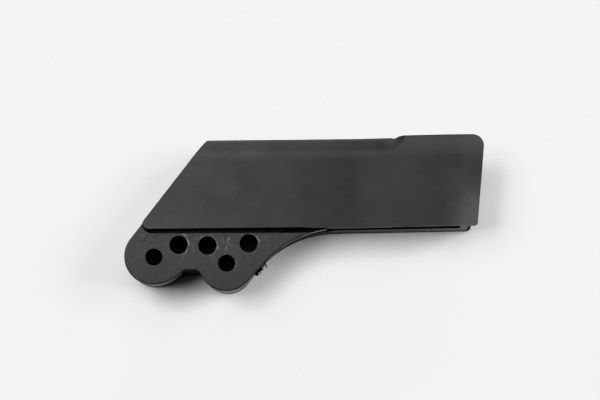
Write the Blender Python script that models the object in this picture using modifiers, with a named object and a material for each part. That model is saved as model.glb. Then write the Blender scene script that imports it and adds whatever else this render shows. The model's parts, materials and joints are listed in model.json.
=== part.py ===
"""Motorcycle chain guide: a folded sheet shell bolted through a lobed mounting block.

The guide lies on the back wall of its shell, with the front wall on top.
While it is drawn, X runs along the chain from the slanted end to the mouth, Y = 0 is the
lower edge of both walls, and Z = 0 is the outer face of the back wall.
"""
import math

import bmesh
import bpy
from mathutils import Vector

MM = 0.001

# Shell: one sheet, drawn flat and folded round the chain
SHEET = 4.0 * MM
SHELL_WIDTH = 28.0 * MM
WALL_HEIGHT = 36.1 * MM
FOLD_RADIUS = 7.0 * MM
FRONT_DROP = 0.15 * MM
FRONT_DROP_END_X = 1.0 * MM
FRONT_SAG = 0.5 * MM
FRONT_SAG_X = 6.0 * MM
MOUTH_SAG = 0.3 * MM
SLANT_ANGLE = math.radians(38.1)
SLANT_FOOT_X = -65.25 * MM
SLANT_CORNER_RADIUS = 2.2 * MM

# Mouth: the front wall leaves the fold and lifts away from the chain
FOLD_END_X = 37.3 * MM
FOLD_END_RADIUS = 1.5 * MM
FOLD_END_LIP = 0.6 * MM
UNROLL_LENGTH = 5.5 * MM
MOUTH_ROLL = 0.15
LIFT_HEIGHT = 4.6 * MM
LIFT_START_X = 18.0 * MM
LIFT_LENGTH = 44.0 * MM
MOUTH_ANGLE = math.radians(5.6)
DROOP = 0.8 * MM
DROOP_LEAN = 0.75
DROOP_START_X = 61.0 * MM
DROOP_LENGTH = 13.0 * MM
FRONT_RISE = 0.15 * MM
FRONT_END_X = 70.65 * MM
BACK_END_X = 69.5 * MM
MOUTH_TOP_RADIUS = 4.6 * MM
FRONT_LOWER_RADIUS = 0.6 * MM
BACK_LOWER_RADIUS = 1.8 * MM

# Mounting block: its outline seen from the front
BLOCK_RECESS = 1.0 * MM
LOBE_A_CENTRE = (-59.05 * MM, -11.0 * MM)
LOBE_A_RADIUS = 11.45 * MM
LOBE_A_FLANK_RADIUS = 17.6 * MM
LOBE_A_FLANK_ANGLE = math.radians(276.5)
LOBE_B_CENTRE = (-29.65 * MM, -14.15 * MM)
LOBE_B_RADIUS = 11.2 * MM
NOTCH_Y = -16.8 * MM
NOTCH_RADIUS = 2.3 * MM
FLANK_ANGLE = math.radians(47.2)
SWEEP_RADIUS = 43.4 * MM

# The back wall and the foot of the block are drawn in a little from that outline
BACK_SETBACK = 0.9 * MM
BACK_FLANK_ANGLE = math.radians(51.9)
BACK_SWEEP_RADIUS = 41.8 * MM

# Lower edge of the back wall and the tongue: below Y = 0 at the sweep, above it at the mouth
SWEEP_SAG = 0.36 * MM
MOUTH_RISE = 0.16 * MM

# Mounting block: its tongue, with a short post left standing at the mouth
BLOCK_RISE = 9.0 * MM
TONGUE_END_X = 68.3 * MM
TONGUE_END_RADIUS = 1.5 * MM
POST_LENGTH = 4.0 * MM

# Mounting block: its cuts
TONGUE_DEPTH = 8.2 * MM
SLIT_LEFT = 1.6 * MM
SLIT_RIGHT = 2.1 * MM
FEATHER = 0.3 * MM
SLOT_HEIGHT = 4.0 * MM
SLOT_START_X = -13.5 * MM

# Bolt bores: X, Y and diameter
SMALL_BORE = 6.5 * MM
LARGE_BORE = 7.0 * MM
BORES = {
    "outer_left": (-58.6 * MM, -11.4 * MM, SMALL_BORE),
    "upper_left": (-48.7 * MM, -6.6 * MM, LARGE_BORE),
    "upper_middle": (-37.2 * MM, -7.0 * MM, LARGE_BORE),
    "outer_right": (-29.6 * MM, -14.2 * MM, SMALL_BORE),
    "upper_right": (-20.7 * MM, -6.3 * MM, LARGE_BORE),
}

# Fits, edges and facets
SEAT_GAP = 0.3 * MM
SHELL_EDGE = 0.3 * MM
BLOCK_EDGE = 0.4 * MM
CUT_MARGIN = 5.0 * MM
MERGE_DISTANCE = 0.001 * MM
ARC_STEP = math.radians(6.0)
LOBE_STEPS = 24
LOBE_A_FLANK_STEPS = 6
NOTCH_STEPS = 5
SWEEP_STEPS = 24
FOLD_STEPS = 8
LIFT_STEPS = 12
UNROLL_STEPS = 4
DROOP_STEPS = 4
BORE_SIDES = 48

# Levels and lengths that follow from the sizes above
BEND_Y = WALL_HEIGHT - FOLD_RADIUS
BEND_LENGTH = FOLD_RADIUS * math.pi / 2
WEB_LENGTH = SHELL_WIDTH - 2 * FOLD_RADIUS
BLANK_LENGTH = 2 * BEND_Y + 2 * BEND_LENGTH + WEB_LENGTH
BLOCK_BASE_Z = SHEET + SEAT_GAP
BLOCK_FACE_Z = SHELL_WIDTH - BLOCK_RECESS
TONGUE_TOP_Z = SHELL_WIDTH - SHEET - TONGUE_DEPTH
POST_START_X = TONGUE_END_X - POST_LENGTH


def arc(centre, radius, start, end, count):
    """Points of an arc from one angle to another, both ends included."""
    angles = (start + (end - start) * i / count for i in range(count + 1))
    return [(centre[0] + radius * math.cos(a), centre[1] + radius * math.sin(a)) for a in angles]


def rounded(corners):
    """Turn (x, y, radius) corners into a run of points with tangent arcs at the corners."""
    points = []
    for i, (x, y, radius) in enumerate(corners):
        here = Vector((x, y))
        before = Vector(corners[i - 1][:2]) - here
        after = Vector(corners[(i + 1) % len(corners)][:2]) - here
        if radius == 0:
            points.append((x, y))
            continue
        half = before.angle(after) / 2
        bisector = (before.normalized() + after.normalized()).normalized()
        centre = here + bisector * (radius / math.sin(half))
        foot_in = here + before.normalized() * (radius / math.tan(half))
        foot_out = here + after.normalized() * (radius / math.tan(half))
        start = math.atan2(foot_in.y - centre.y, foot_in.x - centre.x)
        end = math.atan2(foot_out.y - centre.y, foot_out.x - centre.x)
        turn = (end - start + math.pi) % (2 * math.pi) - math.pi
        points += arc(centre, radius, start, start + turn, math.ceil(abs(turn) / ARC_STEP))
    return points


def slant_x(y):
    """X of the slanted end of the walls at a height Y."""
    return SLANT_FOOT_X + y * math.tan(SLANT_ANGLE)


def mouth_x(foot_x, y):
    """X of the mouth's end of a wall at a height Y."""
    return foot_x + y * math.tan(MOUTH_ANGLE)


def notch_fillet(centre, radius, side):
    """Angle on a lobe where its fillet into the notch starts, and the fillet's centre."""
    reach = radius + NOTCH_RADIUS
    drop = NOTCH_Y - NOTCH_RADIUS - centre[1]
    middle = (centre[0] + side * math.sqrt(reach ** 2 - drop ** 2), centre[1] + drop)
    return math.atan2(drop, middle[0] - centre[0]), middle


def sweep_circle(setback, flank_angle, radius):
    """Centre of the hollow sweep that joins the flank of lobe B to the walls' lower edge."""
    lobe_radius = LOBE_B_RADIUS - setback
    foot_x = LOBE_B_CENTRE[0] + lobe_radius * math.sin(flank_angle)
    foot_y = LOBE_B_CENTRE[1] - lobe_radius * math.cos(flank_angle)
    corner_x = foot_x - (foot_y + SWEEP_SAG) / math.tan(flank_angle)
    return corner_x + radius * math.tan(flank_angle / 2), -SWEEP_SAG - radius


def lobed_side(setback, flank_angle, sweep_radius):
    """The lobes, notch and sweep, from the slanted end round to the straight lower edge."""
    radius_a = LOBE_A_RADIUS - setback
    side_radius = LOBE_A_FLANK_RADIUS - setback
    radius_b = LOBE_B_RADIUS - setback
    lean = LOBE_A_FLANK_RADIUS - LOBE_A_RADIUS
    side_centre = (
        LOBE_A_CENTRE[0] - lean * math.cos(LOBE_A_FLANK_ANGLE),
        LOBE_A_CENTRE[1] - lean * math.sin(LOBE_A_FLANK_ANGLE),
    )
    turn_a, fillet_a = notch_fillet(side_centre, side_radius, 1)
    turn_b, fillet_b = notch_fillet(LOBE_B_CENTRE, radius_b, -1)
    full = 2 * math.pi
    up = math.pi / 2
    points = arc(LOBE_A_CENTRE, radius_a, math.pi - SLANT_ANGLE, LOBE_A_FLANK_ANGLE, LOBE_STEPS)
    points += arc(side_centre, side_radius, LOBE_A_FLANK_ANGLE, turn_a + full, LOBE_A_FLANK_STEPS)[1:]
    points += arc(fillet_a, NOTCH_RADIUS, turn_a + math.pi, up, NOTCH_STEPS)[1:]
    points += arc(fillet_b, NOTCH_RADIUS, up, turn_b + math.pi, NOTCH_STEPS)
    points += arc(LOBE_B_CENTRE, radius_b, turn_b + full, full - up + flank_angle, LOBE_STEPS)[1:]
    centre = sweep_circle(setback, flank_angle, sweep_radius)
    points += arc(centre, sweep_radius, up + flank_angle, up, SWEEP_STEPS)
    return points


def front_side():
    """The lobed side as the front of the block shows it."""
    return lobed_side(0.0, FLANK_ANGLE, SWEEP_RADIUS)


def back_side():
    """The lobed side at the back wall, a little smaller."""
    return lobed_side(BACK_SETBACK, BACK_FLANK_ANGLE, BACK_SWEEP_RADIUS)


def block_outline(lobes):
    """The block's outline, anticlockwise from its hidden upper left corner."""
    first = lobes[0]
    top_left = first[0] + (BLOCK_RISE - first[1]) * math.tan(SLANT_ANGLE)
    corners = [(top_left, BLOCK_RISE, 0.0)] + [(x, y, 0.0) for x, y in lobes]
    corners += [(TONGUE_END_X, MOUTH_RISE, TONGUE_END_RADIUS), (TONGUE_END_X, BLOCK_RISE, 0.0)]
    return rounded(corners)


def curve_mesh(name, outline, thickness=0.0):
    """A flat closed outline as a filled curve, extruded and read back as a clean mesh."""
    curve = bpy.data.curves.new(name, "CURVE")
    curve.dimensions = "2D"
    curve.fill_mode = "BOTH"
    curve.extrude = thickness / 2
    spline = curve.splines.new("POLY")
    spline.points.add(len(outline) - 1)
    for point, (x, y) in zip(spline.points, outline):
        point.co = (x, y, 0.0, 1.0)
    spline.use_cyclic_u = True
    source = bpy.data.objects.new(name, curve)
    bpy.context.scene.collection.objects.link(source)
    evaluated = source.evaluated_get(bpy.context.evaluated_depsgraph_get())
    mesh = bpy.data.meshes.new_from_object(evaluated)
    bpy.data.objects.remove(source)
    bpy.data.curves.remove(curve)
    bm = bmesh.new()
    bm.from_mesh(mesh)
    bmesh.ops.remove_doubles(bm, verts=bm.verts, dist=MERGE_DISTANCE)
    bmesh.ops.dissolve_limit(bm, angle_limit=math.radians(0.5), verts=bm.verts, edges=bm.edges)
    bmesh.ops.recalc_face_normals(bm, faces=bm.faces)
    bm.to_mesh(mesh)
    bm.free()
    mesh.name = name
    return mesh


def loft_mesh(name, lower, upper, lower_z, upper_z):
    """A solid between two like outlines at two levels."""
    bm = bmesh.new()
    low = [bm.verts.new((x, y, lower_z)) for x, y in lower]
    high = [bm.verts.new((x, y, upper_z)) for x, y in upper]
    bm.faces.new(list(reversed(low)))
    bm.faces.new(high)
    for i in range(len(low)):
        j = (i + 1) % len(low)
        bm.faces.new((low[i], low[j], high[j], high[i]))
    mesh = bpy.data.meshes.new(name)
    bm.to_mesh(mesh)
    bm.free()
    return mesh


def add_object(name, mesh, collection, origin):
    """Put a mesh in the scene as a named object under the guide's origin."""
    obj = bpy.data.objects.new(name, mesh)
    collection.objects.link(obj)
    obj.parent = origin
    return obj


def add_cutter(name, mesh, collection, origin):
    """Put a cutting solid in the scene, kept out of renders."""
    cutter = add_object(name, mesh, collection, origin)
    cutter.hide_render = True
    cutter.display_type = "WIRE"
    return cutter


def cut(target, cutter):
    """Take a cutting solid away from a part."""
    modifier = target.modifiers.new(cutter.name, "BOOLEAN")
    modifier.operation = "DIFFERENCE"
    modifier.solver = "EXACT"
    modifier.object = cutter


def ease_edges(obj, width):
    """Break the sharp edges of a part with a small rounded bevel."""
    bevel = obj.modifiers.new("eased_edges", "BEVEL")
    bevel.width = width
    bevel.segments = 2
    bevel.limit_method = "ANGLE"
    bevel.angle_limit = math.radians(50.0)


def plastic(name, colour, roughness):
    """Black plastic with a given shade and gloss."""
    material = bpy.data.materials.new(name)
    material.use_nodes = True
    shader = material.node_tree.nodes["Principled BSDF"]
    shader.inputs["Base Color"].default_value = (*colour, 1.0)
    shader.inputs["Roughness"].default_value = roughness
    shader.inputs["Metallic"].default_value = 0.0
    return material


def shade(obj, material):
    """Give a part its material and smooth shading between its sharp edges."""
    obj.data.materials.clear()
    obj.data.materials.append(material)
    obj.data.shade_smooth()
    obj.data.set_sharp_from_angle(angle=math.radians(30.0))


def smooth_step(value):
    """Ease from 0 to 1 as the value goes from 0 to 1."""
    value = min(max(value, 0.0), 1.0)
    return value * value * (3.0 - 2.0 * value)


def roll_share(x):
    """How far the sheet is rolled into the fold: 1 along it, little in the open mouth."""
    return 1.0 - (1.0 - MOUTH_ROLL) * smooth_step((x - FOLD_END_X) / UNROLL_LENGTH)


def rolled(x, distance):
    """Reach and drop of a point this far past a bend line."""
    curvature = roll_share(x) / FOLD_RADIUS
    angle = curvature * distance
    if angle < 1e-6:
        return distance, 0.0
    return math.sin(angle) / curvature, (1.0 - math.cos(angle)) / curvature


def fold(x, s):
    """Carry a point of the flat blank to the outer skin of the folded shell."""
    lift = LIFT_HEIGHT * smooth_step((x - LIFT_START_X) / LIFT_LENGTH)
    lean = 1.0 + DROOP_LEAN * (1.0 - 2.0 * min(s / WALL_HEIGHT, 1.0))
    lift -= DROOP * lean * max(0.0, (x - DROOP_START_X) / DROOP_LENGTH) ** 2
    from_front = s - BEND_Y
    from_back = BLANK_LENGTH - BEND_Y - s
    if from_front <= 0.0:
        return x, s, SHELL_WIDTH + lift
    if from_back <= 0.0:
        return x, BLANK_LENGTH - s, 0.0
    if from_front <= BEND_LENGTH:
        reach, drop = rolled(x, from_front)
        return x, BEND_Y + reach, SHELL_WIDTH + lift - drop
    if from_back <= BEND_LENGTH:
        reach, drop = rolled(x, from_back)
        return x, BEND_Y + reach, drop
    down = (from_front - BEND_LENGTH) / WEB_LENGTH
    return x, WALL_HEIGHT, SHELL_WIDTH - FOLD_RADIUS - down * WEB_LENGTH + lift * (1.0 - down)


def fold_lines():
    """Distances along the blank where it needs an edge to bend over."""
    front = [BEND_Y + BEND_LENGTH * i / FOLD_STEPS for i in range(FOLD_STEPS + 1)]
    return front + [BLANK_LENGTH - s for s in reversed(front)]


def blank_outline():
    """The shell's flat blank, front wall below and back wall above, anticlockwise."""
    free_edge = WALL_HEIGHT + FRONT_RISE
    back_free_edge = BLANK_LENGTH - WALL_HEIGHT
    mouth = rounded([
        (slant_x(-FRONT_DROP), -FRONT_DROP, SLANT_CORNER_RADIUS),
        (FRONT_DROP_END_X, -FRONT_DROP, 0.0),
        (FRONT_SAG_X, -FRONT_SAG, 0.0),
        (mouth_x(FRONT_END_X, -MOUTH_SAG), -MOUTH_SAG, FRONT_LOWER_RADIUS),
        (mouth_x(FRONT_END_X, free_edge), free_edge, MOUTH_TOP_RADIUS),
        (FOLD_END_X + UNROLL_LENGTH, free_edge, 0.0),
        (FOLD_END_X, free_edge + FOLD_END_LIP, FOLD_END_RADIUS),
        (FOLD_END_X, back_free_edge - FOLD_END_LIP, FOLD_END_RADIUS),
        (FOLD_END_X + UNROLL_LENGTH, back_free_edge, 0.0),
        (mouth_x(BACK_END_X, WALL_HEIGHT), back_free_edge, MOUTH_TOP_RADIUS),
        (BACK_END_X, BLANK_LENGTH - MOUTH_RISE, BACK_LOWER_RADIUS),
        (SLANT_FOOT_X, BLANK_LENGTH, 0.0),
        (slant_x(BEND_Y), BLANK_LENGTH - BEND_Y, 0.0),
        (slant_x(BEND_Y), BEND_Y, 0.0),
    ])
    back_corner = mouth.index((SLANT_FOOT_X, BLANK_LENGTH))
    lobes = [(x, BLANK_LENGTH - y) for x, y in reversed(back_side())]
    around_fold = []
    for s in reversed(fold_lines()):
        height = fold(SLANT_FOOT_X, s)[1]
        around_fold.append((slant_x(height), s))
    return mouth[:back_corner] + lobes + [mouth[back_corner]] + around_fold


def split_blank(bm, axis, places):
    """Score the flat blank along lines, so that it can bend there."""
    for place in places:
        point = Vector((0.0, 0.0, 0.0))
        point[axis] = place
        normal = Vector((0.0, 0.0, 0.0))
        normal[axis] = 1.0
        everything = bm.verts[:] + bm.edges[:] + bm.faces[:]
        bmesh.ops.bisect_plane(bm, geom=everything, dist=MERGE_DISTANCE, plane_co=point, plane_no=normal)


def build_shell(collection, cutters, origin):
    """The sheet shell: a flat blank, scored, folded and given its thickness."""
    mesh = curve_mesh("guide_shell", blank_outline())
    bm = bmesh.new()
    bm.from_mesh(mesh)
    split_blank(bm, 1, fold_lines())
    lift_lines = [LIFT_START_X + LIFT_LENGTH * i / LIFT_STEPS for i in range(LIFT_STEPS + 1)]
    unroll_lines = [FOLD_END_X + UNROLL_LENGTH * i / UNROLL_STEPS for i in range(UNROLL_STEPS + 1)]
    droop_lines = [DROOP_START_X + DROOP_LENGTH * i / DROOP_STEPS for i in range(DROOP_STEPS)]
    split_blank(bm, 0, lift_lines + unroll_lines + droop_lines)
    for vert in bm.verts:
        vert.co = fold(vert.co.x, vert.co.y)
    bmesh.ops.recalc_face_normals(bm, faces=bm.faces)
    highest = max(bm.faces, key=lambda face: face.calc_center_median().z)
    if highest.normal.z < 0:
        bmesh.ops.reverse_faces(bm, faces=bm.faces)
    bm.to_mesh(mesh)
    bm.free()
    shell = add_object("guide_shell", mesh, collection, origin)
    sheet = shell.modifiers.new("sheet_thickness", "SOLIDIFY")
    sheet.thickness = SHEET
    sheet.offset = -1.0
    sheet.use_even_offset = True
    ease_edges(shell, SHELL_EDGE)
    for name, (x, y, diameter) in BORES.items():
        cut(shell, bore_cutter(f"shell_bore_{name}", x, y, diameter, cutters, origin))
    return shell


def bore_cutter(name, x, y, diameter, cutters, origin):
    """A cylinder that runs through both pieces at a bolt's place."""
    bm = bmesh.new()
    length = SHELL_WIDTH + 2 * CUT_MARGIN
    bmesh.ops.create_cone(bm, cap_ends=True, segments=BORE_SIDES, radius1=diameter / 2,
                          radius2=diameter / 2, depth=length)
    mesh = bpy.data.meshes.new(name)
    bm.to_mesh(mesh)
    bm.free()
    cutter = add_cutter(name, mesh, cutters, origin)
    cutter.location = (x, y, SHELL_WIDTH / 2)
    return cutter


def rebate_outline():
    """What is cleared off the block for the front wall: the wall, the slit and the mouth."""
    reach = SWEEP_RADIUS + FEATHER
    centre = sweep_circle(0.0, FLANK_ANGLE, SWEEP_RADIUS)
    slit_end_x = centre[0] - math.sqrt(reach ** 2 - (centre[1] + SLIT_RIGHT) ** 2)
    start = math.atan2(-SLIT_RIGHT - centre[1], slit_end_x - centre[0])
    edge_y = -FRONT_SAG - SEAT_GAP
    end = math.pi - math.asin((edge_y - centre[1]) / reach)
    feather = arc(centre, reach, start, end, SWEEP_STEPS)
    slit_foot_x = SLANT_FOOT_X - SLIT_LEFT
    corner = rounded([
        (slant_x(WALL_HEIGHT) - SLIT_LEFT, WALL_HEIGHT, 0.0),
        (slit_foot_x, -SLIT_LEFT, SLANT_CORNER_RADIUS + SLIT_LEFT),
        (slit_end_x, -SLIT_RIGHT, 0.0),
    ])
    return corner + feather[1:] + [(POST_START_X, edge_y), (POST_START_X, WALL_HEIGHT)]


def build_block(collection, cutters, origin):
    """The machined block: a lobed body cut back for the wall, the slot and the bolts."""
    face = block_outline(front_side())
    base = block_outline(back_side())
    block = add_object("mounting_block", loft_mesh("mounting_block", base, face, BLOCK_BASE_Z, BLOCK_FACE_Z),
                       collection, origin)
    ease_edges(block, BLOCK_EDGE)

    slot_middle_z = TONGUE_TOP_Z + SLOT_HEIGHT / 2
    height = SHELL_WIDTH + CUT_MARGIN - slot_middle_z
    rebate_mesh = curve_mesh("wall_rebate", rebate_outline(), height)
    rebate = add_cutter("wall_rebate", rebate_mesh, cutters, origin)
    rebate.location.z = slot_middle_z + height / 2
    cut(block, rebate)

    low_y = LOBE_B_CENTRE[1] - LOBE_B_RADIUS - CUT_MARGIN
    slot_corners = [
        (SLOT_START_X, low_y),
        (POST_START_X, low_y),
        (POST_START_X, BLOCK_RISE + CUT_MARGIN),
        (SLOT_START_X, BLOCK_RISE + CUT_MARGIN),
    ]
    slot_mesh = curve_mesh("clearing_slot", slot_corners, SLOT_HEIGHT)
    slot = add_cutter("clearing_slot", slot_mesh, cutters, origin)
    slot.location.z = slot_middle_z
    cut(block, slot)

    for name, (x, y, diameter) in BORES.items():
        cut(block, bore_cutter(f"block_bore_{name}", x, y, diameter, cutters, origin))
    return block


def stand_on_origin(parts, origin):
    """Move everything so that the part's base is centred on the world origin."""
    bpy.context.view_layer.update()
    depsgraph = bpy.context.evaluated_depsgraph_get()
    corners = []
    for part in parts:
        evaluated = part.evaluated_get(depsgraph)
        corners += [evaluated.matrix_world @ Vector(corner) for corner in evaluated.bound_box]
    for axis in range(2):
        values = [corner[axis] for corner in corners]
        origin.location[axis] = -(min(values) + max(values)) / 2
    origin.location[2] = -min(corner.z for corner in corners)


def main():
    """Build the chain guide."""
    for obj in list(bpy.data.objects):
        bpy.data.objects.remove(obj)
    collection = bpy.data.collections.new("chain_guide")
    cutters = bpy.data.collections.new("chain_guide_cutters")
    bpy.context.scene.collection.children.link(collection)
    bpy.context.scene.collection.children.link(cutters)
    origin = bpy.data.objects.new("chain_guide_origin", None)
    collection.objects.link(origin)

    shell = build_shell(collection, cutters, origin)
    block = build_block(collection, cutters, origin)
    shade(shell, plastic("satin_sheet_plastic", (0.052, 0.052, 0.048), 0.42))
    shade(block, plastic("machined_plastic", (0.060, 0.059, 0.054), 0.48))
    stand_on_origin([shell, block], origin)


main()
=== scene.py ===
"""Looks of a motorcycle chain guide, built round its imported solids."""
import json
import math

import bmesh
import bpy
import numpy as np
from mathutils import Matrix, Vector
from mathutils.geometry import delaunay_2d_cdt


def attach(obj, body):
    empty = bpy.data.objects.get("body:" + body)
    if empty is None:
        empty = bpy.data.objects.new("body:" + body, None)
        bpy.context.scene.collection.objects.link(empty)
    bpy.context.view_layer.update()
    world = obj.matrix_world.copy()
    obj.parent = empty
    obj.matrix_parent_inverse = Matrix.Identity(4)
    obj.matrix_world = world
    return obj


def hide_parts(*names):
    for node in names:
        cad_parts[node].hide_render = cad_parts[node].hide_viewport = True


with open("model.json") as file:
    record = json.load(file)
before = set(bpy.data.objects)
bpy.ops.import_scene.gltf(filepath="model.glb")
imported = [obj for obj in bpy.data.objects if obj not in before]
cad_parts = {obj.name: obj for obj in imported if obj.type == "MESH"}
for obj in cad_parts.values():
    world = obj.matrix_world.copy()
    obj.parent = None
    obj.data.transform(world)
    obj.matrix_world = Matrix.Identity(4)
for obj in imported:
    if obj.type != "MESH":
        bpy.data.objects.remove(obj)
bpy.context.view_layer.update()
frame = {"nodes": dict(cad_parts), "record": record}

bl_info = {
    "name": "Chain Guide Looks",
    "version": (1, 0, 0),
    "blender": (4, 5, 0),
    "location": "3D View > Sidebar > Chain Guide",
    "description": "Dresses the chain guide's solids and sets them on a pale studio floor",
    "category": "Object",
}

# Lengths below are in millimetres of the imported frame, unless a name is multiplied by MM where it is set.
MM = 0.001
BODY = "root"

# Colours of the plastic where a cut whitened it, also used for painted highlights and painted light on the
# block; of the dirt in scores, also used for painted shade in the slot, the notch and the shavings; and of
# the floor
PALE_HEX = "#7d7d7b"
DARK_HEX = "#0c0c0c"
FLOOR_HEX = "#e8e8e8"

# Spacings of the plastic's patterns. The haze has its real size. Die lines, cutter grain, saw tears and
# ripples are 0.05 to 0.3 mm on such a part, too fine for the render, so they are drawn as coarse as they
# need to show.
HAZE_SPACING = 14.0
SHEET_GRAIN = 1.1
MILL_GRAIN = 1.4
SWARF_RIPPLE = 0.4

# Most of a noise lies in this range, which the mottles stretch to their share of the colour.
NOISE_RANGE = (0.3, 0.7)
MOTTLE = 0.12
SHEET_MOTTLE = 0.22

# Painted light along the sheet, as X and strength: painted shade on the long wall, painted highlight at the
# mouth
HALF_LENGTH = 72.0
SHEET_PAINTED_LIGHT = ((-72, 1.0), (-40, 0.92), (-10, 0.78), (22, 0.42), (48, 0.3), (58, 0.6), (66, 1.1), (70, 1.35),
         (72, 1.5))
# Painted light, as centre, reach and strength: a painted highlight on the mouth's lower corner, and paler
# colour over the shade at the fold's end
PAINTED_LIGHT_SPOTS = (((69.0, -3.0, 30.0), 16.0, 0.9), ((36.0, 27.8, 30.5), 6.5, 0.5))
# Painted highlight: a paler band before the bend as far as the fold goes, and on the opened mouth's lip
# beyond it
BEND_LINE = 25.2
BEND_REACH = 5.0
BEND_PAINTED_HIGHLIGHT = 0.45
FOLD_END = 35.5
FOLD_FADE = 8.0
LIP_RISE = (20.0, 30.0)
LIP_FADE = 4.0
LIP_PAINTED_HIGHLIGHT = 0.5

# Shaping of the CAD meshes: points this close are one, facets this even are one face, and an edge sharper
# than SHARP is scraped to an arris where it and the blunt edges at its ends are long enough to take one
WELD = 0.0001 * MM
EVEN = math.radians(0.4)
SHARP = math.radians(35)
ARRIS = 0.2 * MM
ARRIS_EDGE = 0.35 * MM
ARRIS_ROOM = 0.6 * MM

# The block's face, with the net that carries its marks, and where its other finishes lie
FACE_HEIGHT = 27.0
FACE_BAND = 0.6
NET_SPACING = 0.28
NET_ROW = 0.866
NET_CLEARANCE = 0.45
RIM_SLACK = 0.03
SIDE_SLOPE = 0.3
SIDE_CUT_END = -12.0
NOTCH = (-51.5, -37.5, -23.0)
SAWN_END = 63.8
# Paler tone on the tongue's sawn end below the face: painted light where the front wall shades it
SAWN_END_PAINTED_LIGHT = 0.35

# The hollow sweep, and the groove that carries the slot's mouth on round it
SWEEP_CENTRE = (15.721, -49.241)
SWEEP_RADIUS = 43.4
GROOVE_DEPTH = 6.0
GROOVE_OVERLAP = 1.0
GROOVE_LEVELS = (13.0, 20.4)
GROOVE_ENDS = (-16.5, 11.4)
GROOVE_STEPS = 24


def linear(hex_colour):
    """Turn an sRGB hex colour into linear red, green, blue and full alpha."""
    digits = hex_colour.lstrip("#")
    values = [int(digits[i:i + 2], 16) / 255 for i in (0, 2, 4)]
    return [v / 12.92 if v <= 0.04045 else ((v + 0.055) / 1.055) ** 2.4 for v in values] + [1.0]


def add_node(tree, kind, settings=None, links=None):
    """Add a node with its settings and its inputs' values or links."""
    node = tree.nodes.new(kind)
    for name, value in (settings or {}).items():
        setattr(node, name, value)
    for name, value in (links or {}).items():
        if isinstance(value, bpy.types.NodeSocket):
            tree.links.new(value, node.inputs[name])
        else:
            node.inputs[name].default_value = value
    return node


def new_material(name):
    """Start a material with an empty Principled surface."""
    material = bpy.data.materials.new(name)
    material.use_nodes = True
    tree = material.node_tree
    return material, tree, tree.nodes["Principled BSDF"]


def toned_colour(tree, own, mottle):
    """Mottle the plastic's own colour, and turn it pale where the mesh's tone is above zero, for whitened
    burrs and painted highlights, and dark where it is below, for dirt in scores and painted shade.
    """
    tone = add_node(tree, "ShaderNodeAttribute", {"attribute_name": "tone"}).outputs["Fac"]
    whitened_and_highlit = add_node(tree, "ShaderNodeMath", {"operation": "MAXIMUM", "use_clamp": True},
                        {0: tone, 1: 0.0})
    soiled_and_shaded = add_node(tree, "ShaderNodeMath", {"operation": "MULTIPLY", "use_clamp": True},
                      {0: tone, 1: -1.0})
    share = add_node(tree, "ShaderNodeMapRange", {}, {
        "Value": mottle, "From Min": NOISE_RANGE[0], "From Max": NOISE_RANGE[1],
        "To Min": 1.0 - MOTTLE, "To Max": 1.0 + MOTTLE})
    base = add_node(tree, "ShaderNodeVectorMath", {"operation": "SCALE"},
                    {0: own[:3], "Scale": share.outputs["Result"]})
    paler = add_node(tree, "ShaderNodeMix", {"data_type": "RGBA"},
                     {0: whitened_and_highlit.outputs[0], 6: base.outputs[0], 7: linear(PALE_HEX)})
    toned = add_node(tree, "ShaderNodeMix", {"data_type": "RGBA"},
                     {0: soiled_and_shaded.outputs[0], 6: paler.outputs[2], 7: linear(DARK_HEX)})
    return toned.outputs[2]


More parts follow.
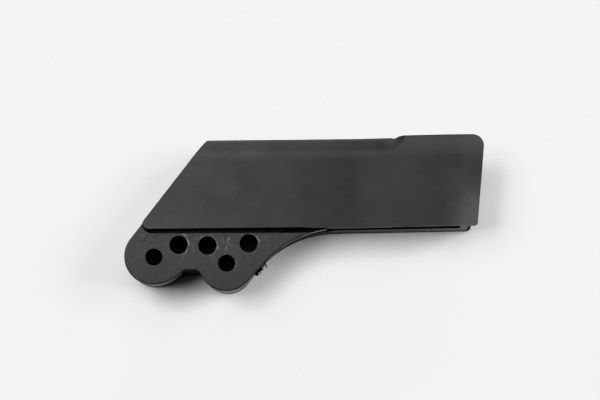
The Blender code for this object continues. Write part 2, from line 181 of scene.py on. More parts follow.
def sheet_plastic(sizes):
    """High-density polyethylene sheet, extruded and hot folded: satin black, its colour scaled by painted
    light along the wall, before the bend and at the mouth.
    """
    material, tree, shader = new_material("extruded_polyethylene")
    place = add_node(tree, "ShaderNodeTexCoord").outputs["Object"]
    spot = add_node(tree, "ShaderNodeSeparateXYZ", {}, {"Vector": place})
    gentle = {"interpolation_type": "SMOOTHERSTEP"}
    # The colour is darkened on the long wall as painted shade and paled at the mouth as painted highlight.
    along = add_node(tree, "ShaderNodeMapRange", {}, {
        "Value": spot.outputs["X"], "From Min": -HALF_LENGTH * MM, "From Max": HALF_LENGTH * MM})
    painted_light_ramp = add_node(tree, "ShaderNodeValToRGB", {}, {"Fac": along.outputs["Result"]})
    ramp = painted_light_ramp.color_ramp
    ramp.interpolation = "B_SPLINE"
    while len(ramp.elements) < len(SHEET_PAINTED_LIGHT):
        ramp.elements.new(0.5)
    for element, (x, strength) in zip(ramp.elements, SHEET_PAINTED_LIGHT):
        element.position = (x + HALF_LENGTH) / (2 * HALF_LENGTH)
        element.color = (strength, strength, strength, 1.0)
    lit_share = painted_light_ramp.outputs["Color"]
    for centre, reach, strength in PAINTED_LIGHT_SPOTS:
        away = add_node(tree, "ShaderNodeVectorMath", {"operation": "DISTANCE"},
                        {0: place, 1: Vector(centre) * MM})
        lit_spot = add_node(tree, "ShaderNodeMapRange", gentle, {
            "Value": away.outputs["Value"], "From Min": reach * MM, "From Max": 0.0,
            "To Min": 0.0, "To Max": strength})
        summed = add_node(tree, "ShaderNodeMath", {"operation": "ADD"},
                          {0: lit_share, 1: lit_spot.outputs["Result"]})
        lit_share = summed.outputs[0]
    # A painted highlight pales the sheet a little just before the bend, and on the mouth's lip past the
    # fold's end.
    off_bend = add_node(tree, "ShaderNodeMath", {"operation": "SUBTRACT"},
                        {0: spot.outputs["Y"], 1: BEND_LINE * MM})
    beside = add_node(tree, "ShaderNodeMath", {"operation": "ABSOLUTE"}, {0: off_bend.outputs[0]})
    highlight_band = add_node(tree, "ShaderNodeMapRange", gentle, {
        "Value": beside.outputs[0], "From Min": BEND_REACH * MM, "From Max": 0.0,
        "To Min": 0.0, "To Max": BEND_PAINTED_HIGHLIGHT})
    folded = add_node(tree, "ShaderNodeMapRange", {}, {
        "Value": spot.outputs["X"], "From Min": FOLD_END * MM, "From Max": (FOLD_END - FOLD_FADE) * MM})
    banded = add_node(tree, "ShaderNodeMath", {"operation": "MULTIPLY"},
                      {0: highlight_band.outputs["Result"], 1: folded.outputs["Result"]})
    opened = add_node(tree, "ShaderNodeMapRange", gentle, {
        "Value": spot.outputs["Y"], "From Min": LIP_RISE[0] * MM, "From Max": LIP_RISE[1] * MM,
        "To Min": 0.0, "To Max": LIP_PAINTED_HIGHLIGHT})
    unfolded = add_node(tree, "ShaderNodeMapRange", {}, {
        "Value": spot.outputs["X"],
        "From Min": (FOLD_END - LIP_FADE) * MM, "From Max": (FOLD_END + LIP_FADE) * MM})
    lipped = add_node(tree, "ShaderNodeMath", {"operation": "MULTIPLY"},
                      {0: opened.outputs["Result"], 1: unfolded.outputs["Result"]})
    bent = add_node(tree, "ShaderNodeMath", {"operation": "ADD"},
                    {0: banded.outputs[0], 1: lipped.outputs[0]})
    pale = add_node(tree, "ShaderNodeMath", {"operation": "ADD"}, {0: lit_share, 1: bent.outputs[0]})
    haze = add_node(tree, "ShaderNodeTexNoise", {}, {
        "Vector": place, "Scale": 1000 / HAZE_SPACING, "Detail": 5.0, "Roughness": 0.6})
    blotches = add_node(tree, "ShaderNodeMapRange", {}, {
        "Value": haze.outputs["Fac"], "From Min": NOISE_RANGE[0], "From Max": NOISE_RANGE[1],
        "To Min": 1.0 - SHEET_MOTTLE, "To Max": 1.0 + SHEET_MOTTLE})
    share = add_node(tree, "ShaderNodeMath", {"operation": "MULTIPLY"},
                     {0: pale.outputs[0], 1: blotches.outputs["Result"]})
    base = add_node(tree, "ShaderNodeVectorMath", {"operation": "SCALE"},
                    {0: linear(sizes.sheet_hex)[:3], "Scale": share.outputs[0]})
    tree.links.new(base.outputs[0], shader.inputs["Base Color"])
    grain = add_node(tree, "ShaderNodeTexNoise", {}, {
        "Vector": place, "Scale": 1000 / SHEET_GRAIN, "Detail": 4.0})
    bump = add_node(tree, "ShaderNodeBump", {}, {
        "Height": grain.outputs["Fac"], "Strength": 0.08, "Distance": 0.2 * MM})
    tree.links.new(bump.outputs["Normal"], shader.inputs["Normal"])
    shader.inputs["Roughness"].default_value = 0.55
    shader.inputs["IOR"].default_value = 1.45
    return material


def milled_plastic(sizes):
    """The same plastic faced with a milling cutter: duller, with cutter grain, pale burrs and dark scores,
    and the face's painted highlights and painted shade.
    """
    material, tree, shader = new_material("milled_polyethylene")
    place = add_node(tree, "ShaderNodeTexCoord").outputs["Object"]
    grain = add_node(tree, "ShaderNodeTexNoise", {}, {
        "Vector": place, "Scale": 1000 / MILL_GRAIN, "Detail": 3.0})
    colour = toned_colour(tree, linear(sizes.block_hex), grain.outputs["Fac"])
    tree.links.new(colour, shader.inputs["Base Color"])
    bump = add_node(tree, "ShaderNodeBump", {}, {
        "Height": grain.outputs["Fac"], "Strength": 0.15, "Distance": 0.3 * MM})
    tree.links.new(bump.outputs["Normal"], shader.inputs["Normal"])
    shader.inputs["Roughness"].default_value = 0.55
    shader.inputs["IOR"].default_value = 1.45
    return material


def side_milled_shaded_plastic(sizes):
    """The same plastic cut with a cutter's flank: smoother, so it mirrors at a low angle, and painted darker
    than the face as painted shade.
    """
    material, tree, shader = new_material("side_milled_shaded_polyethylene")
    place = add_node(tree, "ShaderNodeTexCoord").outputs["Object"]
    chatter = add_node(tree, "ShaderNodeTexNoise", {}, {
        "Vector": place, "Scale": 1000 / SHEET_GRAIN, "Detail": 3.0})
    colour = toned_colour(tree, linear(sizes.side_shaded_hex), chatter.outputs["Fac"])
    tree.links.new(colour, shader.inputs["Base Color"])
    bump = add_node(tree, "ShaderNodeBump", {}, {
        "Height": chatter.outputs["Fac"], "Strength": 0.05, "Distance": 0.2 * MM})
    tree.links.new(bump.outputs["Normal"], shader.inputs["Normal"])
    shader.inputs["Roughness"].default_value = 0.4
    shader.inputs["IOR"].default_value = 1.5
    return material


def notch_shaded_plastic():
    """The same plastic as the saw left it in the notch: torn and dull, painted nearly black as painted shade
    of the notch.
    """
    material, tree, shader = new_material("sawn_shaded_polyethylene")
    place = add_node(tree, "ShaderNodeTexCoord").outputs["Object"]
    tears = add_node(tree, "ShaderNodeTexNoise", {}, {
        "Vector": place, "Scale": 1000 / SHEET_GRAIN, "Detail": 4.0})
    bump = add_node(tree, "ShaderNodeBump", {}, {
        "Height": tears.outputs["Fac"], "Strength": 0.4, "Distance": 0.4 * MM})
    tree.links.new(bump.outputs["Normal"], shader.inputs["Normal"])
    shader.inputs["Base Color"].default_value = linear(DARK_HEX)
    shader.inputs["Roughness"].default_value = 0.9
    shader.inputs["IOR"].default_value = 1.35
    return material


def swarf_plastic():
    """Shavings of the same plastic: thin and glossy, painted near-black all over as painted shade of their
    curls.
    """
    material, tree, shader = new_material("polyethylene_shavings")
    place = add_node(tree, "ShaderNodeTexCoord").outputs["Object"]
    ripple = add_node(tree, "ShaderNodeTexNoise", {}, {
        "Vector": place, "Scale": 1000 / SWARF_RIPPLE, "Detail": 2.0})
    bump = add_node(tree, "ShaderNodeBump", {}, {
        "Height": ripple.outputs["Fac"], "Strength": 0.3, "Distance": 0.2 * MM})
    tree.links.new(bump.outputs["Normal"], shader.inputs["Normal"])
    shader.inputs["Base Color"].default_value = linear(DARK_HEX)
    shader.inputs["Roughness"].default_value = 0.4
    shader.inputs["IOR"].default_value = 1.45
    return material


class ChainGuideSizes(bpy.types.PropertyGroup):
    """Sizes and colours a user would change."""

    sheet_hex: bpy.props.StringProperty(
        name="Sheet colour", description="sRGB hex colour of the folded sheet", default="#2f2f2e")
    block_hex: bpy.props.StringProperty(
        name="Block colour", description="sRGB hex colour of the machined block", default="#2e2e2d")
    # The cut sides' colour is darker than the block's, as painted shade
    side_shaded_hex: bpy.props.StringProperty(
        name="Side-milled colour", description="sRGB hex colour of the block's cut sides", default="#161616")
    camera_distance: bpy.props.FloatProperty(
        name="Camera distance", description="From the lens to the front wall", default=1.1, unit="LENGTH")
    camera_tilt: bpy.props.FloatProperty(
        name="Camera tilt", description="How far the view leans from straight down",
        default=math.radians(6.1), subtype="ANGLE")
    camera_roll: bpy.props.FloatProperty(
        name="Camera roll", description="How far the picture is turned",
        default=math.radians(0.6), subtype="ANGLE")


def join_loops(shape, loops):
    """Skin a bar of four-cornered loops and cap its ends."""
    for low, high in zip(loops, loops[1:]):
        for i in range(4):
            j = (i + 1) % 4
            shape.faces.new((low[i], low[j], high[j], high[i]))
    shape.faces.new(loops[0][::-1])
    shape.faces.new(loops[-1])


def groove_cutter():
    """A curved bar that carries the slot's mouth on round the sweep."""
    near, far = SWEEP_RADIUS - GROOVE_OVERLAP, SWEEP_RADIUS + GROOVE_DEPTH
    low, high = GROOVE_LEVELS
    bar = bmesh.new()
    loops = []
    for i in range(GROOVE_STEPS + 1):
        x = GROOVE_ENDS[0] + (GROOVE_ENDS[1] - GROOVE_ENDS[0]) * i / GROOVE_STEPS
        angle = math.acos((x - SWEEP_CENTRE[0]) / SWEEP_RADIUS)
        loops.append([bar.verts.new(((SWEEP_CENTRE[0] + reach * math.cos(angle)) * MM,
                                     (SWEEP_CENTRE[1] + reach * math.sin(angle)) * MM, level * MM))
                      for reach, level in ((near, low), (far, low), (far, high), (near, high))])
    join_loops(bar, loops)
    bmesh.ops.recalc_face_normals(bar, faces=bar.faces)
    return bar


def cut_away(blank, cutter):
    """Take one shape out of another."""
    objects = []
    for name, shape in (("blank", blank), ("cutter", cutter)):
        mesh = bpy.data.meshes.new(name)
        shape.to_mesh(mesh)
        shape.free()
        objects.append(bpy.data.objects.new(name, mesh))
        bpy.context.scene.collection.objects.link(objects[-1])
    cut = objects[0].modifiers.new("cut", "BOOLEAN")
    cut.object = objects[1]
    cut.operation = "DIFFERENCE"
    cut.solver = "EXACT"
    whole = bpy.data.meshes.new_from_object(objects[0].evaluated_get(bpy.context.evaluated_depsgraph_get()))
    for obj in objects:
        bpy.data.objects.remove(obj)
    result = bmesh.new()
    result.from_mesh(whole)
    return result


def node_shape(name, cutter=None):
    """A copy of a CAD node's mesh with its even facets joined and its long sharp edges scraped."""
    shape = bmesh.new()
    shape.from_mesh(frame["nodes"][name].data)
    bmesh.ops.remove_doubles(shape, verts=shape.verts, dist=WELD)
    if cutter:
        shape = cut_away(shape, cutter)
        bmesh.ops.remove_doubles(shape, verts=shape.verts, dist=WELD)
    bmesh.ops.dissolve_limit(shape, angle_limit=EVEN, verts=shape.verts, edges=shape.edges)
    sharp = [e for e in shape.edges if len(e.link_faces) == 2 and e.calc_face_angle(0.0) > SHARP]
    marked = set(sharp)
    scraped = [e for e in sharp if e.calc_length() > ARRIS_EDGE
               and all(side.calc_length() > ARRIS_ROOM
                       for v in e.verts for side in v.link_edges if side not in marked)]
    bmesh.ops.bevel(shape, geom=scraped, offset=ARRIS, offset_type="OFFSET", segments=2, profile=0.5,
                    affect="EDGES", clamp_overlap=False)
    return shape


def finish_piece(name, shape, materials, finish_of, tone=None):
    """Turn a shape into a piece that stands for its node, with its finishes and its tone, if it has one."""
    mesh = bpy.data.meshes.new(name + "_finished")
    shape.to_mesh(mesh)
    shape.free()
    if tone:
        spots = np.empty(len(mesh.vertices) * 3)
        mesh.vertices.foreach_get("co", spots)
        attribute = mesh.attributes.new("tone", "FLOAT", "POINT")
        attribute.data.foreach_set("value", tone(spots.reshape(-1, 3) / MM).astype(np.float32))
    for material in materials:
        mesh.materials.append(material)
    for polygon in mesh.polygons:
        polygon.use_smooth = True
        polygon.material_index = finish_of(polygon)
    mesh.set_sharp_from_angle(angle=SHARP)
    piece = bpy.data.objects.new(name + "_finished", mesh)
    bpy.context.scene.collection.objects.link(piece)
    weights = piece.modifiers.new("flat_faces_stay_flat", "WEIGHTED_NORMAL")
    weights.keep_sharp = True
    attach(piece, BODY)
    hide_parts(name)
    return piece


def bore_centres():
    """Each bore's centre in the face, from the record's openings."""
    centres = {}
    for opening in frame["record"]["physics"]["openings"]:
        if opening["name"].startswith("bore_"):
            low, high = opening["box_m"]
            name = opening["name"].removeprefix("bore_")
            centres[name] = tuple((low[i] + high[i]) / 2 / MM for i in (0, 1))
    return centres


# The rims that the face is marked round: the bores', and the sweep's
BORES = {**bore_centres(), "sweep": SWEEP_CENTRE}
RADII = {"outer_left": 3.25, "upper_left": 3.5, "upper_middle": 3.5, "outer_right": 3.25, "upper_right": 3.5,
         "sweep": SWEEP_RADIUS}

# Marks round a rim: bore, from and to degrees, distance outside the rim, width, height, tone (negative: dark)
RINGS = (
    # The pale crescents on the bores' upper right sides are raised burrs whose paleness is painted highlight
    # where the light catches them
    ("upper_left", -28, 50, 0.4, 0.22, 0.08, 0.45),
    ("upper_left", 2, 30, 0.75, 0.38, 0.2, 1.0),
    ("upper_left", 57, 73, 1.1, 0.35, 0.25, 1.0),
    ("upper_left", 40, 60, 1.3, 0.3, 0.1, 0.5),
    ("upper_left", -75, -25, 0.5, 0.25, 0.04, 0.2),
    ("upper_left", 95, 165, 0.3, 0.25, 0.04, 0.12),
    ("upper_middle", -22, 2, 0.75, 0.35, 0.16, 0.8),
    ("upper_middle", 0, 60, 0.55, 0.28, 0.1, 0.4),
    ("upper_middle", 62, 78, 0.95, 0.3, 0.2, 0.75),
    ("upper_middle", 110, 135, 0.55, 0.3, 0.12, 0.65),
    ("upper_middle", -75, -25, 0.45, 0.25, 0.03, 0.15),
    ("upper_right", 0, 42, 0.6, 0.28, 0.12, 0.6),
    ("upper_right", -30, 0, 0.75, 0.25, 0.06, 0.35),
    ("upper_right", 105, 125, 1.15, 0.3, 0.15, 0.7),
    ("upper_right", 55, 100, 0.3, 0.22, 0.05, 0.25),
    ("upper_right", -75, -40, 0.8, 0.25, 0.03, 0.2),
    ("outer_right", -35, 12, 0.6, 0.3, 0.08, 0.4),
    ("outer_right", 100, 160, 0.4, 0.25, 0.03, 0.12),
    ("outer_left", -150, -20, 0.45, 0.25, 0.03, 0.2),
    ("outer_left", -140, -60, 1.2, 0.25, -0.02, -0.2),
    ("outer_left", -150, -90, 1.8, 0.25, 0.02, 0.1),
    ("outer_left", -150, -100, 2.3, 0.25, -0.03, -0.3),
    ("outer_left", -100, -50, 2.9, 0.25, -0.03, -0.28),
    ("outer_left", -120, -70, 4.0, 0.3, -0.02, -0.18),
    ("outer_left", 20, 150, 1.2, 0.5, 0.02, 0.1),
    # Along the sweep's rim: a pale line that is a painted edge highlight, and a darker line just in on the
    # face
    ("sweep", 92, 136, -0.05, 0.18, 0.0, 0.35),
    ("sweep", 90, 112, -0.05, 0.22, 0.0, 0.55),
    ("sweep", 92, 136, 0.6, 0.3, -0.03, -0.5),
)
RING_FADE = 20
# Scores and ridges: points, width, height (below zero cuts in), tone
LINES = (
    (((-61.0, -6.9), (-62.9, -8.8), (-64.7, -11.0), (-65.0, -12.4)), 0.4, -0.07, -0.6),
    (((-55.4, -6.8), (-58.3, -8.2), (-59.9, -9.2)), 0.42, -0.08, -0.75),
    (((-62.6, -7.3), (-62.0, -7.9)), 0.5, 0.06, 0.3),
    (((-46.0, -11.8), (-46.9, -13.5), (-47.5, -16.5), (-49.8, -18.8)), 0.3, 0.05, 0.28),
    (((-45.6, -12.6), (-46.4, -15.2), (-48.4, -19.5)), 0.3, -0.05, -0.25),
    (((-36.8, -16.9), (-37.2, -20.5), (-38.1, -23.8)), 0.3, 0.05, 0.3),
    (((-35.7, -16.7), (-36.3, -20.3)), 0.25, 0.05, 0.22),
    (((-37.9, -25.5), (-38.8, -27.4)), 0.3, 0.04, 0.25),
    (((-27.0, -22.0), (-24.1, -19.5), (-22.3, -18.1)), 0.35, 0.05, 0.22),
    (((-47.1, -19.6), (-41.9, -19.7)), 0.2, 0.05, 0.22),
    # A dark band along the face under the front wall's lower edge: painted shade of the slot, over a shallow
    # groove
    (((-64.0, -6.4), (-30.0, -6.35), (4.0, -6.3)), 0.55, -0.05, -0.55),
    (((-55.8, -7.25), (-43.4, -7.4)), 0.2, 0.08, 0.35),
    # Pale spots at the tongue's end: painted highlights
    (((62.6, -5.6), (63.3, -5.8)), 0.5, 0.02, 1.0),
    (((64.9, -6.3), (65.3, -6.7)), 0.3, 0.02, 0.6),
    (((-41.5, -19.9), (-39.5, -21.2)), 0.3, 0.03, 0.15),
    (((-30.3, -24.0), (-30.2, -25.2)), 0.4, 0.06, 0.3),
    (((-34.6, -26.3), (-34.2, -26.9)), 0.5, 0.05, 0.25),
)
LINE_ENDS = 0.35
# Fields of cutter streaks: centre, half size, spacing across and along, height, tone
STREAKS = (
    ((-31.4, -11.4), (3.0, 4.8), (0.4, 1.1), 0.05, 0.3),
    ((-29.8, -9.2), (1.4, 2.4), (0.36, 0.8), 0.05, 0.3),
    ((-55.8, -17.4), (1.0, 2.6), (0.4, 0.6), 0.05, 0.28),
    ((-44.4, -11.5), (2.2, 4.0), (0.5, 0.9), 0.05, 0.22),
    ((-18.5, -11.5), (5.0, 3.0), (0.7, 0.7), 0.03, 0.16),
    ((-36.2, -18.4), (2.0, 3.4), (0.45, 2.4), 0.04, 0.2),
    ((-25.0, -19.5), (3.0, 2.6), (0.8, 1.6), 0.03, 0.16),
)
# The whole face's unevenness in height and in tone: spacing, strength and the noise's seed
FACE_RELIEF = ((1.3, 0.012, 1), (0.5, 0.006, 2))
FACE_MOTTLE = ((0.9, 0.06, 3), (3.1, 0.05, 4))
FACE_TONE = -0.03
# The face darkens towards the lobes' ends: where it starts in Y, over how much, and tone for each millimetre
LOBE_SHADE = (-15.0, 12.0, 0.018)
# Burrs and scores come and go: the spacing, and how much stronger and weaker they get
BREAK_SPACING = 0.45
BREAK_MEAN = 0.75
BREAK_SWING = 0.5
LATTICE = 64


def lattice_noise(x, y, seed):
    """Smooth noise from -1 to 1 on a square lattice of spacing 1."""
    table = np.random.default_rng(seed).uniform(-1.0, 1.0, (LATTICE, LATTICE))
    column, row = np.floor(x).astype(int), np.floor(y).astype(int)
    across, along = x - column, y - row
    across, along = across * across * (3 - 2 * across), along * along * (3 - 2 * along)
    near_left, near_right, far_left, far_right = (
        table[(column + i) % LATTICE, (row + j) % LATTICE] for j in (0, 1) for i in (0, 1))
    return ((near_left * (1 - across) + near_right * across) * (1 - along)
            + (far_left * (1 - across) + far_right * across) * along)


def distance_to_line(x, y, points):
    """Distance to a run of straight pieces, and the share of its length at the nearest spot."""
    best, share, done = np.full(x.shape, np.inf), np.zeros(x.shape), 0.0
    total = sum(math.dist(p, q) for p, q in zip(points, points[1:]))
    for (px, py), (qx, qy) in zip(points, points[1:]):
        run = math.dist((px, py), (qx, qy))
        t = np.clip(((x - px) * (qx - px) + (y - py) * (qy - py)) / run ** 2, 0, 1)
        d = np.hypot(x - px - t * (qx - px), y - py - t * (qy - py))
        share = np.where(d < best, (done + t * run) / total, share)
        best = np.minimum(best, d)
        done += run
    return best, share


def face_marks(x, y):
    """Height in millimetres and tone of the milled face's burrs, scores and cutter streaks, with painted
    highlights and painted shade among them.
    """
    height = sum(rise * lattice_noise(x / step, y / step, seed) for step, rise, seed in FACE_RELIEF)
    tone = sum(shade * lattice_noise(x / step, y / step, seed) for step, shade, seed in FACE_MOTTLE)
    start, length, slope = LOBE_SHADE
    tone = tone + FACE_TONE + slope * np.clip(y - start, -length, 0.0)
    broken = BREAK_MEAN + BREAK_SWING * lattice_noise(x / BREAK_SPACING, y / BREAK_SPACING, 5)
    for bore, start, end, gap, width, rise, shade in RINGS:
        cx, cy = BORES[bore]
        middle, half = (start + end) / 2, (end - start) / 2
        turn = (np.degrees(np.arctan2(y - cy, x - cx)) - middle + 180) % 360 - 180
        fade = np.clip((half + RING_FADE / 2 - np.abs(turn)) / RING_FADE, 0, 1)
        band = np.exp(-((np.hypot(x - cx, y - cy) - RADII[bore] - gap) / width) ** 2) * fade * broken
        height = height + rise * band
        tone = tone + shade * band
    for points, width, rise, shade in LINES:
        away, share = distance_to_line(x, y, points)
        swell = LINE_ENDS + (1.0 - LINE_ENDS) * np.sin(np.pi * np.clip(share, 0.05, 0.95))
        band = np.exp(-(away / width) ** 2) * swell * broken
        height = height + rise * band
        tone = tone + shade * band
    for (cx, cy), (rx, ry), (across, along), rise, shade in STREAKS:
        mask = np.exp(-(((x - cx) / rx) ** 2 + ((y - cy) / ry) ** 2) ** 2)
        marks = lattice_noise(x / across, y / along, int(abs(cx) * 10))
        height = height + rise * mask * marks
        tone = tone + shade * mask * marks
    return height, tone


def net_points(outline, ends):
    """Points of an even net inside the face's outline box that keep clear of its edges."""
    low, high = outline.min(axis=0), outline.max(axis=0)
    rows = []
    for i, y in enumerate(np.arange(low[1], high[1], NET_SPACING * NET_ROW)):
        row = np.arange(low[0] + (i % 2) * NET_SPACING / 2, high[0], NET_SPACING)
        rows.append(np.stack([row, np.full(len(row), y)], axis=1))
    net = np.concatenate(rows)
    clear = np.full(len(net), np.inf)
    for a, b in ends:
        edge = (tuple(outline[a]), tuple(outline[b]))
        clear = np.minimum(clear, distance_to_line(net[:, 0], net[:, 1], edge)[0])
    return net[clear > NET_SPACING * NET_CLEARANCE]


def net_over_face(shape):
    """Lay a close net in the block's flat face and raise its points by the milling marks."""
    level = FACE_HEIGHT * MM
    flat = [f for f in shape.faces if f.normal.z > 0.999 and all(abs(v.co.z - level) < 1e-6 for v in f.verts)]
    marked = set(flat)
    rim = [e for e in shape.edges if sum(f in marked for f in e.link_faces) == 1]
    corners = list(dict.fromkeys(v for e in rim for v in e.verts))
    order = {v: i for i, v in enumerate(corners)}
    ends = [(order[e.verts[0]], order[e.verts[1]]) for e in rim]
    outline = np.array([(v.co.x / MM, v.co.y / MM) for v in corners])
    points = [Vector(p) for p in np.concatenate([outline, net_points(outline, ends)])]
    inside_outline = 1
    spots, _, triangles, sources, _, _ = delaunay_2d_cdt(points, ends, [], inside_outline, 1e-6)
    bmesh.ops.delete(shape, geom=flat, context="FACES")
    placed = np.array([(p.x, p.y) for p in spots])
    height, _ = face_marks(placed[:, 0], placed[:, 1])
    made = []
    for spot, rise, source in zip(spots, height, sources):
        kept = [s for s in source if s < len(corners)]
        made.append(corners[kept[0]] if kept
                    else shape.verts.new((spot.x * MM, spot.y * MM, level + rise * MM)))
    for triangle in triangles:
        middle = placed[list(triangle)].mean(axis=0)
        if all(math.dist(middle, BORES[bore]) > RADII[bore] + ARRIS / MM - RIM_SLACK for bore in BORES):
            shape.faces.new([made[i] for i in triangle])


def block_tone(spots):
    """Pale burrs, dark scores, painted highlights and painted shade on the block's face, and painted light on
    the sawn end of its tongue.
    """
    _, tone = face_marks(spots[:, 0], spots[:, 1])
    painted_light_on_end = np.where(spots[:, 0] > SAWN_END, SAWN_END_PAINTED_LIGHT, 0.0)
    return np.where(spots[:, 2] > FACE_HEIGHT - FACE_BAND, tone, painted_light_on_end)


def block_finish(polygon):
    """Which finish a face takes: 0 milled, 1 side-milled and painted darker as shade (the lobes, the sweep
    above its groove), 2 sawn and painted nearly black as shade (the notch).
    """
    x, y, z = polygon.center / MM
    if abs(polygon.normal.z) > SIDE_SLOPE:
        return 0
    if NOTCH[0] < x < NOTCH[1] and y > NOTCH[2]:
        return 2
    return int(x < SIDE_CUT_END or (x < GROOVE_ENDS[1] and z > GROOVE_LEVELS[1]))


def shell_finish(polygon):
    """The sheet has one finish all over."""
    return 0


class CHAINGUIDE_OT_block(bpy.types.Operator):
    """Make the block's milled face, its burrs and its smooth cut sides"""

    bl_idname = "chain_guide.block"
    bl_label = "Finish the block"

    def execute(self, context):
        sizes = context.scene.chain_guide
        shape = node_shape("mounting_block", groove_cutter())
        net_over_face(shape)
        finishes = (milled_plastic(sizes), side_milled_shaded_plastic(sizes), notch_shaded_plastic())
        piece = finish_piece("mounting_block", shape, finishes, block_finish, block_tone)
        return {"FINISHED"}


class CHAINGUIDE_OT_shell(bpy.types.Operator):
    """Make the folded shell with its scraped edges"""

    bl_idname = "chain_guide.shell"
    bl_label = "Finish the shell"

    def execute(self, context):
        finishes = (sheet_plastic(context.scene.chain_guide),)
        piece = finish_piece("guide_shell", node_shape("guide_shell"), finishes, shell_finish)
        return {"FINISHED"}


# Swarf left hanging from the sweep's lower arris: where the shavings root, and ranges that each is drawn from
SWARF_ROOTS = ((-16.2, -19.3), (-17.0, -20.2), (-17.7, -21.1), (-18.0, -21.7), (-18.5, -22.4), (-19.0, -23.0),
               (-19.8, -23.4))
SHAVINGS_A_ROOT = 2
SWARF_SEED = 7
SWARF_LEVEL = 25.6
SWARF_SPREAD = (-1.2, 0.6)
SHAVING_HEADING = (-95, -45)
SHAVING_REACH = (1.2, 2.2)
SHAVING_CURL = (0.35, 0.6)
SHAVING_TURNS = (1.0, 2.0)
SHAVING_SWAY = 0.05
SHAVING_SUNK = 0.5
SHAVING_DROP = 0.8
SHAVING_TWIST = 0.5
SHAVING_TAPER = 0.6
SHAVING_WIDTH = 1.0
SHAVING_THICKNESS = 0.22
SHAVING_STEPS = 26


def shaving(shape, rng, root):
    """One curled shaving: a thin flat strip that winds away from its root."""
    heading = math.radians(rng.uniform(*SHAVING_HEADING))
    out = Vector((math.cos(heading), math.sin(heading), 0.0))
    side = Vector((-out.y, out.x, 0.0))
    reach, radius = rng.uniform(*SHAVING_REACH), rng.uniform(*SHAVING_CURL)
    turns = rng.uniform(*SHAVING_TURNS)
    start = Vector((root[0], root[1], SWARF_LEVEL + rng.uniform(*SWARF_SPREAD)))
    loops = []
    for i in range(SHAVING_STEPS):
        t = i / (SHAVING_STEPS - 1)
        angle = turns * math.tau * t
        centre = (start + out * (reach * t - SHAVING_SUNK + radius * math.sin(angle))
                  + side * rng.uniform(-SHAVING_SWAY, SHAVING_SWAY)
                  + Vector((0.0, 0.0, radius * (math.cos(angle) - 1.0) - SHAVING_DROP * t)))
        ahead = (out * (reach / math.tau / turns + radius * math.cos(angle))
                 + Vector((0.0, 0.0, -radius * math.sin(angle)))).normalized()
        across = (side + SHAVING_TWIST * out * math.sin(2 * angle)).normalized()
        up = ahead.cross(across).normalized()
        half = SHAVING_WIDTH * (1.0 - SHAVING_TAPER * t) / 2
        corners = [centre + across * half * a + up * SHAVING_THICKNESS * b / 2
                   for a, b in ((-1, -1), (1, -1), (1, 1), (-1, 1))]
        loops.append([shape.verts.new(c * MM) for c in corners])
    join_loops(shape, loops)


class CHAINGUIDE_OT_swarf(bpy.types.Operator):
    """Make the shavings that still hang from the sweep"""

    bl_idname = "chain_guide.swarf"
    bl_label = "Add the swarf"

    def execute(self, context):
        rng = np.random.default_rng(SWARF_SEED)
        shape = bmesh.new()
        for root in SWARF_ROOTS:
            for _ in range(SHAVINGS_A_ROOT):
                shaving(shape, rng, root)
        bmesh.ops.recalc_face_normals(shape, faces=shape.faces)
        mesh = bpy.data.meshes.new("milling_swarf")
        shape.to_mesh(mesh)
        shape.free()
        mesh.materials.append(swarf_plastic())
        piece = bpy.data.objects.new("milling_swarf", mesh)
        bpy.context.scene.collection.objects.link(piece)
        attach(piece, BODY)
        return {"FINISHED"}


# Studio, in metres and watts. The softboxes all face the part.
FLOOR_HALF = 3.0
SOFTBOXES = {
    "top_softbox": {"place": (0.0, 0.27, 1.15), "size": (0.6, 0.55), "power": 1.5},
    "right_softbox": {"place": (0.85, 0.15, 0.85), "size": (0.5, 0.7), "power": 10.5},
    "left_softbox": {"place": (-0.45, 0.16, 1.05), "size": (0.5, 0.6), "power": 10.5},
    "back_softbox": {"place": (0.0, 0.9, 1.0), "size": (0.8, 0.5), "power": 0.6},
    "back_panel": {"place": (0.0, 1.2, 0.35), "size": (1.6, 0.7), "power": 7.5},
}
STUDIO_FILL = 0.08
LENS = 165.0
SENSOR = 36.0
CAMERA_TARGET = (-1.62 * MM, 5.36 * MM, 28.0 * MM)


class CHAINGUIDE_OT_stage(bpy.types.Operator):
    """Add the floor, the lights and the camera"""

    bl_idname = "chain_guide.stage"
    bl_label = "Set the stage"

    def execute(self, context):
        add_floor()
        add_lights()
        add_camera(context.scene, context.scene.chain_guide)
        return {"FINISHED"}


def add_floor():
    """A pale matte floor, wide enough for every view."""
    mesh = bpy.data.meshes.new("floor")
    low, high = -FLOOR_HALF, FLOOR_HALF
    mesh.from_pydata([(low, low, 0), (high, low, 0), (high, high, 0), (low, high, 0)], [], [(0, 1, 2, 3)])
    floor = bpy.data.objects.new("floor", mesh)
    bpy.context.scene.collection.objects.link(floor)
    material, _, shader = new_material("matte_paper")
    shader.inputs["Base Color"].default_value = linear(FLOOR_HEX)
    shader.inputs["Roughness"].default_value = 0.9
    mesh.materials.append(material)


def aim(obj, place, target, up):
    """Turn an object at a place so that it looks at a target."""
    back = (place - target).normalized()
    right = up.cross(back).normalized()
    turned = Matrix((right, back.cross(right), back)).transposed().to_4x4()
    turned.translation = place
    obj.matrix_world = turned


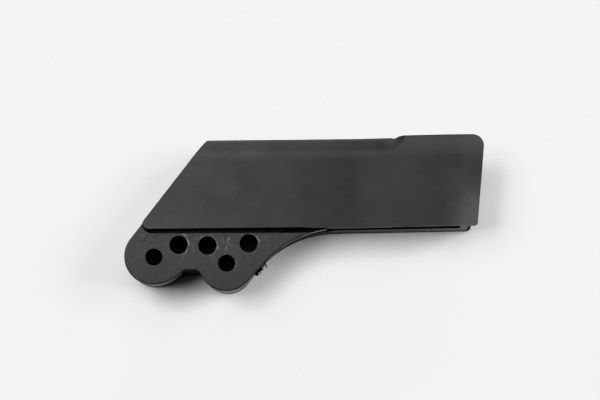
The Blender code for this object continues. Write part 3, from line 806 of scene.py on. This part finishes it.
def add_lights():
    """A softbox at each side, three weaker ones above and beyond the folded edge, and a weak even fill."""
    for name, box in SOFTBOXES.items():
        light = bpy.data.lights.new(name, "AREA")
        light.shape = "RECTANGLE"
        light.size, light.size_y = box["size"]
        light.energy = box["power"]
        lamp = bpy.data.objects.new(name, light)
        bpy.context.scene.collection.objects.link(lamp)
        aim(lamp, Vector(box["place"]), Vector((0, 0, 0)), Vector((0, 1, 0)))
    world = bpy.data.worlds.new("studio")
    world.use_nodes = True
    backdrop = world.node_tree.nodes["Background"]
    backdrop.inputs["Color"].default_value = (1, 1, 1, 1)
    backdrop.inputs["Strength"].default_value = STUDIO_FILL
    bpy.context.scene.world = world
    bpy.context.scene.view_settings.view_transform = "Khronos PBR Neutral"


def add_camera(scene, sizes):
    """A long lens almost straight above, leaning towards the lobes."""
    camera = bpy.data.cameras.new("studio_camera")
    camera.lens = LENS
    camera.sensor_width = SENSOR
    obj = bpy.data.objects.new("studio_camera", camera)
    scene.collection.objects.link(obj)
    roll, tilt = sizes.camera_roll, sizes.camera_tilt
    ahead = Vector((math.sin(roll), math.cos(roll), 0.0))
    above = Vector((0.0, 0.0, 1.0))
    target = Vector(CAMERA_TARGET)
    back = above * math.cos(tilt) - ahead * math.sin(tilt)
    aim(obj, target + back * sizes.camera_distance, target, ahead)
    scene.camera = obj


class CHAINGUIDE_PT_panel(bpy.types.Panel):
    """Chain guide tools"""

    bl_idname = "CHAINGUIDE_PT_panel"
    bl_label = "Chain Guide"
    bl_space_type = "VIEW_3D"
    bl_region_type = "UI"
    bl_category = "Chain Guide"

    def draw(self, context):
        for name in ChainGuideSizes.__annotations__:
            self.layout.prop(context.scene.chain_guide, name)
        for tool in OPERATORS:
            self.layout.operator(tool.bl_idname)


OPERATORS = (CHAINGUIDE_OT_block, CHAINGUIDE_OT_shell, CHAINGUIDE_OT_swarf, CHAINGUIDE_OT_stage)
CLASSES = (ChainGuideSizes, *OPERATORS, CHAINGUIDE_PT_panel)


def register():
    """Add the classes and the scene's settings."""
    for cls in CLASSES:
        bpy.utils.register_class(cls)
    bpy.types.Scene.chain_guide = bpy.props.PointerProperty(type=ChainGuideSizes)


def unregister():
    """Take the classes and the settings away."""
    del bpy.types.Scene.chain_guide
    for cls in reversed(CLASSES):
        bpy.utils.unregister_class(cls)


def main():
    """Dress the guide."""
    register()
    bpy.ops.chain_guide.block()
    bpy.ops.chain_guide.shell()
    bpy.ops.chain_guide.swarf()
    bpy.ops.chain_guide.stage()


if __name__ == "__main__":
    main()
